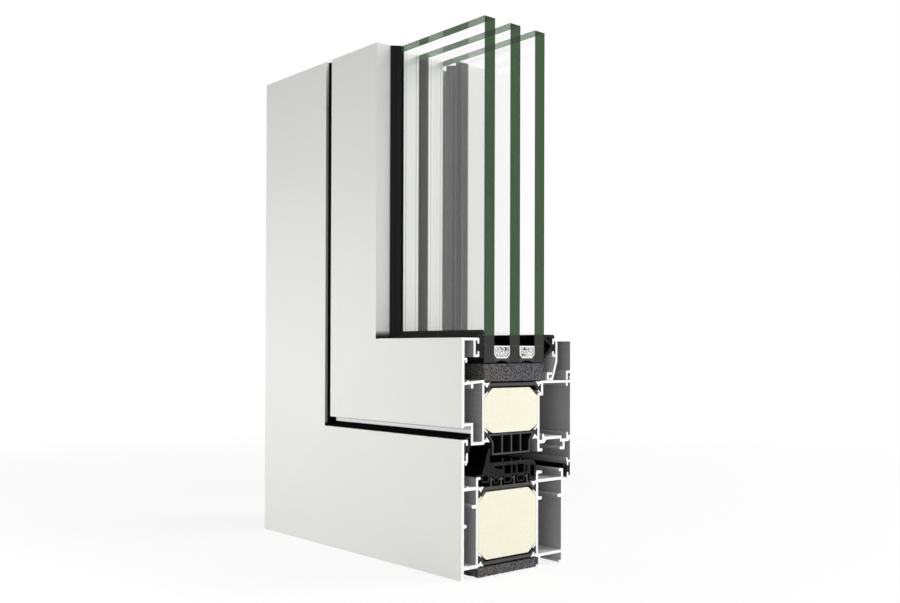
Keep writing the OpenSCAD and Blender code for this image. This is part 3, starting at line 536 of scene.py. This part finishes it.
def dark_foam():
    finish, tree = new_finish("dark_foam")
    place = place_of(tree)
    walls = speckle(tree, place["spot"], scale=1000.0, roughness=0.7)
    tint = speckle(tree, place["spot"], scale=700.0, roughness=0.7)
    sheltered = ramp(tree, place["depth"], *foam_sides, low=-sun_tint, high=sun_tint)
    tint = maths(tree, "ADD", tint, sheltered)
    hue = between(tree, tint, (0.225, 0.185, 0.13, 1.0), (0.145, 0.175, 0.245, 1.0))
    body = add_node(tree, "ShaderNodeBsdfPrincipled", {
        "Base Color": between(tree, ramp(tree, walls, *grain_contrast), grey(0.03), hue),
        "Roughness": 0.9, "Specular IOR Level": 0.15,
        "Normal": relief(tree, walls, strength=0.4, depth=0.4 * millimetre)})
    show(tree, body.outputs[0])
    return finish


dark_foam_finish = dark_foam()
print("made", dark_foam_finish.name)

# %% [markdown]
# Glass
#
# Float glass is clear across its faces and green through its edges, because light runs a long way in it
# there. A shader that bends light would also move what is behind three panes, and flat panes hardly do,
# so a clear shader passes the light straight on. A mirror is laid over it that grows towards grazing
# angles, as on real glass. The sawn and ground edges pass only a deep green. Seen from inside the pane,
# an edge is also a mirror, so the top edges show the strips at the left once more, in green. The corners
# of an edge are ground off so that they aren't sharp, which leaves a narrow arris, darker than the edge.
# A thin green line crosses each edge at the top of the spacer, where light from the cavity gets in.

# %% Make the glass finish
mirror_head_on = 0.045
edge_head_on = 0.5
grazing_power = 5.0
mirror_rough = 0.02
arris_width = 0.55 * millimetre
spacer_height = 7.2 * millimetre
spacer_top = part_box("spacer_outside")[0].z + spacer_height
lit_half = 0.3 * millimetre
pane_sides = [tuple(corner.y - outside_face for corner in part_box(f"glass_pane_{name}"))
              for name in ("outside", "middle", "inside")]


def clear_colour(tree, colour):
    return add_node(tree, "ShaderNodeBsdfTransparent", {"Color": colour}).outputs[0]


def mirror_colour(tree, colour):
    return add_node(tree, "ShaderNodeBsdfGlossy", {"Color": colour, "Roughness": mirror_rough}).outputs[0]


def pane_edge(tree, place, grazing):
    ground = speckle(tree, place["spot"], scale=1500.0)
    arris = 0.0
    for near, far in pane_sides:
        for low in (near, far - arris_width):
            arris = larger(tree, arris, within(tree, place["depth"], low, low + arris_width))
    deep_green = between(tree, arris, (0.036, 0.123, 0.031, 1.0), (0.018, 0.070, 0.016, 1.0))
    plain_edge = between(tree, ground, (0.050, 0.052, 0.050, 1.0), (0.062, 0.064, 0.062, 1.0))
    lit_line = within(tree, place["edge"], spacer_top - lit_half, spacer_top + lit_half)
    plain_edge = between(tree, lit_line, plain_edge, (0.050, 0.130, 0.050, 1.0))
    ground_edge = add_node(tree, "ShaderNodeBsdfPrincipled", {
        "Base Color": between(tree, arris, plain_edge, (0.036, 0.039, 0.036, 1.0)), "Roughness": 0.12})
    edge_share = either(tree, grazing, edge_head_on, 1.0)
    outer = blend(tree, edge_share, clear_colour(tree, deep_green), ground_edge.outputs[0])
    mirrored = between(tree, arris, (0.46, 0.50, 0.46, 1.0), (0.06, 0.08, 0.06, 1.0))
    inner_green = clear_colour(tree, (0.045, 0.13, 0.045, 1.0))
    inner = blend(tree, 0.5, inner_green, mirror_colour(tree, mirrored))
    from_inside = add_node(tree, "ShaderNodeNewGeometry").outputs["Backfacing"]
    return blend(tree, from_inside, outer, inner)


def window_glass():
    finish, tree = new_finish("glass")
    place = place_of(tree)
    facing = add_node(tree, "ShaderNodeLayerWeight", {"Blend": 0.5}).outputs["Facing"]
    grazing = maths(tree, "POWER", facing, grazing_power)
    mirror_share = either(tree, grazing, mirror_head_on, 1.0)
    clear = clear_colour(tree, (0.9990, 0.9997, 0.9990, 1.0))
    face = blend(tree, mirror_share, clear, mirror_colour(tree, grey(1.0)))
    is_edge = below(tree, maths(tree, "ABSOLUTE", place["looks_y"]), mostly)
    show(tree, blend(tree, is_edge, face, pane_edge(tree, place, grazing)))
    return finish


glass_finish = window_glass()
print("made", glass_finish.name)

# %% [markdown]
# The sealed edge of the glazing unit
#
# A pale spacer tube holds the panes apart. Its sides are glued to the glass with a thin black strip of
# butyl, and a bead of dark sealant closes the unit behind it. The tube is full of drying granules. It is
# rolled from sheet, and the rollers leave a fine crease near each side, which shows through the panes
# as a darker line. The crease follows the tube's own sides, so it is drawn by the depth from them. The
# granules are white where the saw has opened them. Further in they are painted a dark grey, as painted
# shade in the gaps.

# %% Make the spacer, sealant and granule finishes
crease_from_side = 2.0 * millimetre
crease_half = 0.45 * millimetre
crease_sink = 1.5
granule_show = 0.45 * millimetre
tube_sheen = 0.8
spacer_sides = [tuple(corner.y - outside_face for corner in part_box(name))
                for name in ("spacer_outside", "spacer_inside")]


def crease_share(tree, place):
    share = 0.0
    for near, far in spacer_sides:
        for crease in (near + crease_from_side, far - crease_from_side):
            line = within(tree, place["depth"], crease - crease_half, crease + crease_half)
            share = larger(tree, share, line)
    return both(tree, share, rest_of(tree, sawn_share(tree, place)))


def spacer_tube():
    finish, tree = new_finish("spacer")
    place = place_of(tree)
    lines = speckle(tree, run_stretched(tree, place, 0.01), scale=1800.0)
    glued = above(tree, maths(tree, "ABSOLUTE", place["looks_y"]), mostly)
    creased = crease_share(tree, place)
    sheet = between(tree, lines, (0.97, 0.975, 0.94, 1.0), (0.985, 0.99, 0.96, 1.0))
    rolled = between(tree, creased, sheet, grey(0.76))
    height = maths(tree, "SUBTRACT", lines, maths(tree, "MULTIPLY", creased, crease_sink))
    body = add_node(tree, "ShaderNodeBsdfPrincipled", {
        "Base Color": between(tree, glued, rolled, grey(0.02)), "Roughness": 0.35,
        "Metallic": both(tree, tube_sheen, rest_of(tree, glued)),
        "Normal": relief(tree, height, strength=0.1, depth=0.2 * millimetre)})
    show(tree, body.outputs[0])
    return finish


def edge_sealant():
    finish, tree = new_finish("sealant")
    place = place_of(tree)
    smear = speckle(tree, run_stretched(tree, place, 0.1), scale=400.0, detail=3.0)
    body = add_node(tree, "ShaderNodeBsdfPrincipled", {
        "Base Color": between(tree, smear, grey(0.03), grey(0.045)),
        "Roughness": either(tree, smear, 0.45, 0.65),
        "Normal": relief(tree, smear, strength=0.2, depth=0.3 * millimetre)})
    show(tree, body.outputs[0])
    return finish


def drying_granules():
    finish, tree = new_finish("desiccant")
    place = place_of(tree)
    shade = speckle(tree, place["spot"], scale=900.0)
    # More than granule_show in from a cut, the granules are painted dark grey, as painted shade in the
    # gaps.
    at_cut = larger(tree, above(tree, place["x"], sawn_right - granule_show),
                    above(tree, place["z"], sawn_top - granule_show))
    opened = between(tree, shade, grey(0.90), grey(0.97))
    body = add_node(tree, "ShaderNodeBsdfPrincipled", {
        "Base Color": between(tree, at_cut, grey(0.06), opened), "Roughness": 0.8,
        "Normal": relief(tree, shade, strength=0.4, depth=0.4 * millimetre)})
    show(tree, body.outputs[0])
    return finish


spacer_finish = spacer_tube()
sealant_finish = edge_sealant()
granule_finish = drying_granules()
print("made", spacer_finish.name, sealant_finish.name, granule_finish.name)

# %% [markdown]
# Corner cleats
#
# A cleat is a short piece of bare extruded aluminium that sits in the chambers of both legs and pulls
# the mitre tight. At most it is seen far inside a sawn chamber, as plain metal with die lines.

# %% Make the bare aluminium finish


def bare_aluminium():
    finish, tree = new_finish("bare_aluminium")
    place = place_of(tree)
    lines = speckle(tree, run_stretched(tree, place, 0.02), scale=1600.0, detail=3.0)
    body = add_node(tree, "ShaderNodeBsdfPrincipled", {
        "Base Color": between(tree, lines, grey(0.55), grey(0.7)), "Metallic": 0.9,
        "Roughness": either(tree, lines, 0.35, 0.55),
        "Normal": relief(tree, lines, strength=0.1, depth=0.2 * millimetre)})
    show(tree, body.outputs[0])
    return finish


bare_finish = bare_aluminium()
print("made", bare_finish.name)

# %% [markdown]
# Putting the finishes on
#
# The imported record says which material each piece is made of. The finish goes into the piece's own
# material slot, so the mesh itself is untouched.

# %% Dress the solids
finish_of = {
    "painted_aluminium": coat_finish, "insulating_bar": bar_finish, "rubber": rubber_finish,
    "cream_foam": cream_finish, "dark_foam": dark_foam_finish, "glass": glass_finish,
    "spacer": spacer_finish, "sealant": sealant_finish, "desiccant": granule_finish,
    "bare_aluminium": bare_finish}
made_of = {part["node"]: part["material_slot"] for part in frame["record"]["subparts"]}
for name, solid in pieces.items():
    finish = finish_of[made_of[name]]
    if solid.material_slots:
        for slot in solid.material_slots:
            slot.material = finish
    else:
        solid.data.materials.append(finish)
print("dressed", len(pieces), "solids in", len(finish_of), "finishes")

# %% [markdown]
# Reading the cut of a strip
#
# The foam and the granules below take the place of plain solids, and they have to fill the same space.
# Their outlines could be typed in again, but then they would drift apart when the model changes. So the
# corners are read off the solid's own sawn end. Both legs use one set of coordinates: the run along the
# leg, the depth, and the distance from the window's outer edge.

# %% Make the section helpers
scene = bpy.context.scene
leg_length = {"bottom": sawn_right - left_side, "left": sawn_top}


def leg_point(leg, run, y, edge):
    return Vector((left_side + run, y, edge)) if leg == "bottom" else Vector((left_side + edge, y, run))


def leg_place(leg, point):
    from_left, height = point.x - left_side, point.z
    return (from_left, point.y, height) if leg == "bottom" else (height, point.y, from_left)


def sawn_section(solid, leg):
    """Corners (y, edge) of the solid's sawn end, in order round their middle."""
    corners = set()
    for vertex in solid.data.vertices:
        run, y, edge = leg_place(leg, vertex.co)
        if run > leg_length[leg] - hair:
            corners.add((round(y, 6), round(edge, 6)))
    middle = sum((Vector(corner) for corner in corners), Vector((0.0, 0.0))) / len(corners)
    return sorted(corners, key=lambda corner: math.atan2(corner[1] - middle.y, corner[0] - middle.x))


def piece_from(shape, name, slot, node):
    """Turn a bmesh into a piece that stands for a solid and wears the finish of its slot."""
    mesh = bpy.data.meshes.new(name)
    shape.to_mesh(mesh)
    shape.free()
    mesh.materials.append(finish_of[slot])
    piece = bpy.data.objects.new(name, mesh)
    scene.collection.objects.link(piece)
    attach(piece, "root")
    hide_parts(node)
    return piece


print("glazing foam section:", sawn_section(pieces["glazing_foam_strip_bottom"], "bottom"))

# %% [markdown]
# Porous foam strips
#
# The dark foam is open: the saw has cut through its cells, so its end is a field of small pits between
# thin walls. A bump in the material would give the shading but a flat outline, so the strip is built
# again as a mesh with real pits. The sawn end is cut into a fine grid, and its rim is then drawn out ring
# by ring to the mitre, with the rings close together near the cut, where they are seen. Every point
# sinks in by the pattern of a Voronoi noise: not at all on a wall between two cells, and deepest inside a
# cell. Nothing moves outwards, so the strip keeps the room of its solid.

# %% Build the porous foam strips
foam_grid = 0.32 * millimetre
foam_cell = 1.0 * millimetre
foam_pit = 0.5 * millimetre
wall_steepness = 2.0
first_ring = 0.3 * millimetre
ring_growth = 1.22
widest_ring = 4.0 * millimetre


def pit_at(point):
    distances, _ = noise.voronoi(point / foam_cell)
    return foam_pit * min(1.0, wall_steepness * (distances[1] - distances[0]))


def cut_into_grid(shape, axis, low, high):
    steps = round((high - low) / foam_grid)
    for i in range(1, steps):
        bmesh.ops.bisect_plane(
            shape, geom=shape.verts[:] + shape.edges[:] + shape.faces[:],
            plane_co=axis * (low + (high - low) * i / steps), plane_no=axis)


def ring_shares(length):
    """How far each ring lies towards the mitre, from 0 at the cut to 1, in steps that grow."""
    reach, step, shares = 0.0, first_ring, []
    while reach + step < length:
        reach += step
        shares.append(reach / length)
        step = min(step * ring_growth, widest_ring)
    return shares + [1.0]


def porous_strip(node, leg):
    length = leg_length[leg]
    corners = sawn_section(pieces[node], leg)
    shape = bmesh.new()
    shape.faces.new([shape.verts.new(leg_point(leg, length, y, edge)) for y, edge in corners])
    depths, edges = zip(*corners)
    edge_axis = leg_point(leg, 0.0, 0.0, 1.0) - leg_point(leg, 0.0, 0.0, 0.0)
    edge_start = leg_point(leg, 0.0, 0.0, 0.0).dot(edge_axis)
    cut_into_grid(shape, Vector((0, 1, 0)), min(depths), max(depths))
    cut_into_grid(shape, edge_axis, edge_start + min(edges), edge_start + max(edges))

    rim = [side for side in shape.edges if side.is_boundary]
    for share in ring_shares(length):
        drawn = bmesh.ops.extrude_edge_only(shape, edges=rim)["geom"]
        for vertex in drawn:
            if isinstance(vertex, bmesh.types.BMVert):
                _, y, edge = leg_place(leg, vertex.co)
                vertex.co = leg_point(leg, length - (length - edge) * share, y, edge)
        rim = [side for side in drawn if isinstance(side, bmesh.types.BMEdge) and side.is_boundary]
    mitre = {vertex for side in rim for vertex in side.verts}
    bmesh.ops.edgeloop_fill(shape, edges=rim)
    bmesh.ops.recalc_face_normals(shape, faces=shape.faces[:])
    bmesh.ops.triangulate(shape, faces=[face for face in shape.faces if len(face.verts) > 4])
    shape.normal_update()
    sunk = [(vertex, vertex.normal * pit_at(vertex.co)) for vertex in shape.verts if vertex not in mitre]
    for vertex, sink in sunk:
        vertex.co -= sink
    for face in shape.faces:
        face.smooth = True
    return piece_from(shape, node + "_cells", "dark_foam", node)


for strip in ("base_foam_strip", "glazing_foam_strip"):
    for leg in ("bottom", "left"):
        foam = porous_strip(f"{strip}_{leg}", leg)
        print(foam.name, "has", len(foam.data.polygons), "faces")

# %% [markdown]
# Drying granules
#
# The spacer tubes are filled with small white balls that keep the gas between the panes dry. At the two
# sawn ends they are seen as a packed bed, and the saw has cut the outermost ones flat. They could be
# scattered by a particle system, but a bed of balls in staggered rows, each moved and sized a little by a
# seeded draw and dented by a noise, is plain to read and the same in every run. What stands past the cut
# is pressed back to it. One layer is enough to look full, and behind it the solid itself, drawn back a
# little from the cut so that the gaps stay dark, fills the rest of the tube.

# %% Build the drying granules
ball_radius = 0.46 * millimetre
ball_sizes = (0.8, 1.1)
ball_stray = 0.25
ball_sunk = (0.1, 0.8)
ball_dent = 0.12
dent_scale = 1.3
side_room = 0.6 * ball_radius
least_inside = 0.7
row_rise = 0.87
bed_gaps = 0.07
top_gaps = 0.35
top_rows = 3.0 * ball_radius
bed_depth = 3.6 * ball_radius
granule_seed = 12
draw = random.Random(granule_seed)


def inside_by(corners, y, edge):
    """Distance of a point from the nearest side of a convex section, negative outside."""
    nearest = math.inf
    for (y0, e0), (y1, e1) in zip(corners, corners[1:] + corners[:1]):
        side = math.hypot(y1 - y0, e1 - e0)
        nearest = min(nearest, ((y1 - y0) * (edge - e0) - (e1 - e0) * (y - y0)) / side)
    return nearest


def add_ball(shape, middle, radius, leg):
    ball = bmesh.ops.create_icosphere(
        shape, subdivisions=2, radius=radius, matrix=Matrix.Translation(middle))
    for vertex in ball["verts"]:
        dent = noise.noise(vertex.co * dent_scale / radius)
        vertex.co = middle + (vertex.co - middle) * (1.0 - ball_dent * (0.5 + 0.5 * dent))
        run, y, edge = leg_place(leg, vertex.co)
        vertex.co = leg_point(leg, min(run, leg_length[leg]), y, edge)


def fill_end(shape, corners, leg):
    pitch = 2.0 * ball_radius
    low_y, low_edge = (min(corner[i] for corner in corners) for i in (0, 1))
    high_y, high_edge = (max(corner[i] for corner in corners) for i in (0, 1))
    count = 0
    row, edge = 0, low_edge + ball_radius
    while edge < high_edge - side_room:
        y = low_y + ball_radius * (1.0 + row % 2)
        while y < high_y - side_room:
            radius = ball_radius * draw.uniform(*ball_sizes)
            side, lift = (draw.uniform(-ball_stray, ball_stray) * ball_radius for _ in range(2))
            sunk = draw.uniform(*ball_sunk) * ball_radius
            gap_share = top_gaps if edge > high_edge - top_rows else bed_gaps
            fell_out = draw.random() < gap_share
            if not fell_out and inside_by(corners, y + side, edge + lift) > least_inside * radius:
                add_ball(shape, leg_point(leg, leg_length[leg] - sunk, y + side, edge + lift), radius, leg)
                count += 1
            y += pitch
        edge += pitch * row_rise
        row += 1
    return count


def granule_fill(node):
    shape = bmesh.new()
    shape.from_mesh(pieces[node].data)
    bmesh.ops.remove_doubles(shape, verts=shape.verts[:], dist=hair)
    for vertex in shape.verts:
        if vertex.co.x > sawn_right - hair:
            vertex.co.x -= bed_depth
        elif vertex.co.z > sawn_top - hair:
            vertex.co.z -= bed_depth
    balls = sum(fill_end(shape, sawn_section(pieces[node], leg), leg) for leg in ("bottom", "left"))
    for face in shape.faces:
        face.smooth = len(face.verts) == 3 and face.calc_area() < ball_radius ** 2
    return piece_from(shape, node + "_granules", "desiccant", node), balls


for node in ("desiccant_outside", "desiccant_inside"):
    bed, balls = granule_fill(node)
    print(bed.name, "has", balls, "balls at its two ends")

# %% [markdown]
# Floor and sky
#
# The sample stands on a pale floor in a white studio. The floor has to look white and still keep the
# soft shadow, so the camera sees it partly lit and partly glowing, while for the object it is just a
# pale floor that throws light back. Further away the glow takes over, and the floor runs into the white
# behind it with no horizon. The sky is the same: white where it is seen, and milder as a lamp.

# %% Lay the floor and paint the sky
floor_reach = 4.0
floor_drop = 0.4 * millimetre
floor_throws_back = 0.8
floor_lit = 0.19
floor_glow = 0.825
fade_start, fade_end = 0.3, 0.9
sky_as_lamp = 0.33
scene.view_settings.view_transform = "Standard"


def seen_share(tree):
    path = add_node(tree, "ShaderNodeLightPath")
    mirrored = larger(tree, path.outputs["Is Glossy Ray"], path.outputs["Is Transmission Ray"])
    return larger(tree, path.outputs["Is Camera Ray"], mirrored)


def lit_colour(tree, level):
    return add_node(tree, "ShaderNodeBsdfDiffuse", {"Color": grey(level)}).outputs[0]


def glowing(tree, strength):
    return add_node(tree, "ShaderNodeEmission", {"Color": grey(1.0), "Strength": strength}).outputs[0]


def studio_floor():
    finish, tree = new_finish("studio_floor")
    near = add_node(tree, "ShaderNodeAddShader", {
        0: lit_colour(tree, floor_lit), 1: glowing(tree, floor_glow)}).outputs[0]
    spot = add_node(tree, "ShaderNodeTexCoord").outputs["Object"]
    from_sample = add_node(tree, "ShaderNodeVectorMath", {0: spot}, operation="LENGTH").outputs["Value"]
    far_share = ramp(tree, from_sample, fade_start, fade_end)
    seen = blend(tree, far_share, near, glowing(tree, 1.0))
    show(tree, blend(tree, seen_share(tree), lit_colour(tree, floor_throws_back), seen))
    return finish


floor_mesh = bpy.data.meshes.new("floor")
floor_corners = [(x * floor_reach, y * floor_reach, -floor_drop)
                 for x, y in ((-1, -1), (1, -1), (1, 1), (-1, 1))]
floor_mesh.from_pydata(floor_corners, [], [(0, 1, 2, 3)])
floor = bpy.data.objects.new("floor", floor_mesh)
scene.collection.objects.link(floor)
floor_mesh.materials.append(studio_floor())

world = bpy.data.worlds.new("studio")
scene.world = world
world.use_nodes = True
sky_tree = world.node_tree
sky_tree.nodes.clear()
sky_level = either(sky_tree, seen_share(sky_tree), sky_as_lamp, 1.0)
sky = add_node(sky_tree, "ShaderNodeBackground", {"Color": grey(1.0), "Strength": sky_level})
add_node(sky_tree, "ShaderNodeOutputWorld", {"Surface": sky.outputs[0]})
print("floor laid", floor_drop / millimetre, "mm under the sample, sky at", sky_as_lamp)

# %% [markdown]
# Lamps
#
# Light from the sky comes from everywhere alike, so it gives no direction. Four soft lamps add one: the
# first low in front of the left side, the second at the front right, the third facing the sawn end, so
# that light reaches into the chambers, and the last high at the back right. They light the sample but are
# hidden from the camera and from mirrors, so that the glass shows no bright squares.

# %% Hang the lamps


def hang_lamp(name, place, aim, size, power):
    lamp = bpy.data.lights.new(name, "AREA")
    lamp.shape = "RECTANGLE"
    lamp.size, lamp.size_y = size
    lamp.energy = power
    holder = bpy.data.objects.new(name, lamp)
    holder.visible_camera = False
    holder.visible_glossy = False
    holder.location = place
    holder.rotation_mode = "QUATERNION"
    holder.rotation_quaternion = (Vector(aim) - Vector(place)).to_track_quat("-Z", "Y")
    scene.collection.objects.link(holder)


corner_aim = (0.06, 0.0, 0.12)
hang_lamp("front_lamp", place=(-0.14, -0.33, 0.11), aim=(-0.14, -0.04, 0.11), size=(0.5, 0.06), power=0.56)
hang_lamp("right_lamp", place=(0.645, -0.78, 0.15), aim=corner_aim, size=(0.6, 0.3), power=1.6)
hang_lamp("near_lamp", place=(0.5, 0.06, 0.06), aim=(0.10, 0.0, 0.06), size=(0.15, 0.15), power=0.45)
hang_lamp("high_lamp", place=(0.58, 0.72, 0.8), aim=corner_aim, size=(0.5, 0.5), power=6.8)
print("lamps hung:", len(bpy.data.lights))

# %% [markdown]
# The camera
#
# The photograph was taken from low down, in front of the sample and to its right. Its vanishing points
# gave the direction and the lens, and the corners of the model were then fitted to their places in the
# picture. The picture's middle is a little off the lens's axis, which the camera's shift takes up.

# %% Set up the camera
picture = (900, 603)
focal_pixels = 998.2
axis_pixel = (479.5, 340.1)
sensor_width = 36.0
camera_place = (0.5275, -0.4027, 0.1276)
yaw, pitch, roll = (math.radians(angle) for angle in (138.482, 0.581, 0.158))
ahead = Vector((math.cos(pitch) * math.cos(yaw), math.cos(pitch) * math.sin(yaw), math.sin(pitch)))
level_right = ahead.cross(Vector((0, 0, 1))).normalized()
level_up = level_right.cross(ahead)
right = level_right * math.cos(roll) + level_up * math.sin(roll)
up = level_up * math.cos(roll) - level_right * math.sin(roll)
view = bpy.data.cameras.new("view")
view.sensor_width = sensor_width
view.lens = focal_pixels * sensor_width / picture[0]
view.shift_x = (picture[0] / 2 - axis_pixel[0]) / picture[0]
view.shift_y = (axis_pixel[1] - picture[1] / 2) / picture[0]
camera = bpy.data.objects.new("view", view)
turn = Matrix((right, up, -ahead)).transposed().to_4x4()
camera.matrix_world = Matrix.Translation(camera_place) @ turn
scene.collection.objects.link(camera)
scene.camera = camera
print("lens", round(view.lens, 2), "mm, shift", round(view.shift_x, 4), round(view.shift_y, 4))
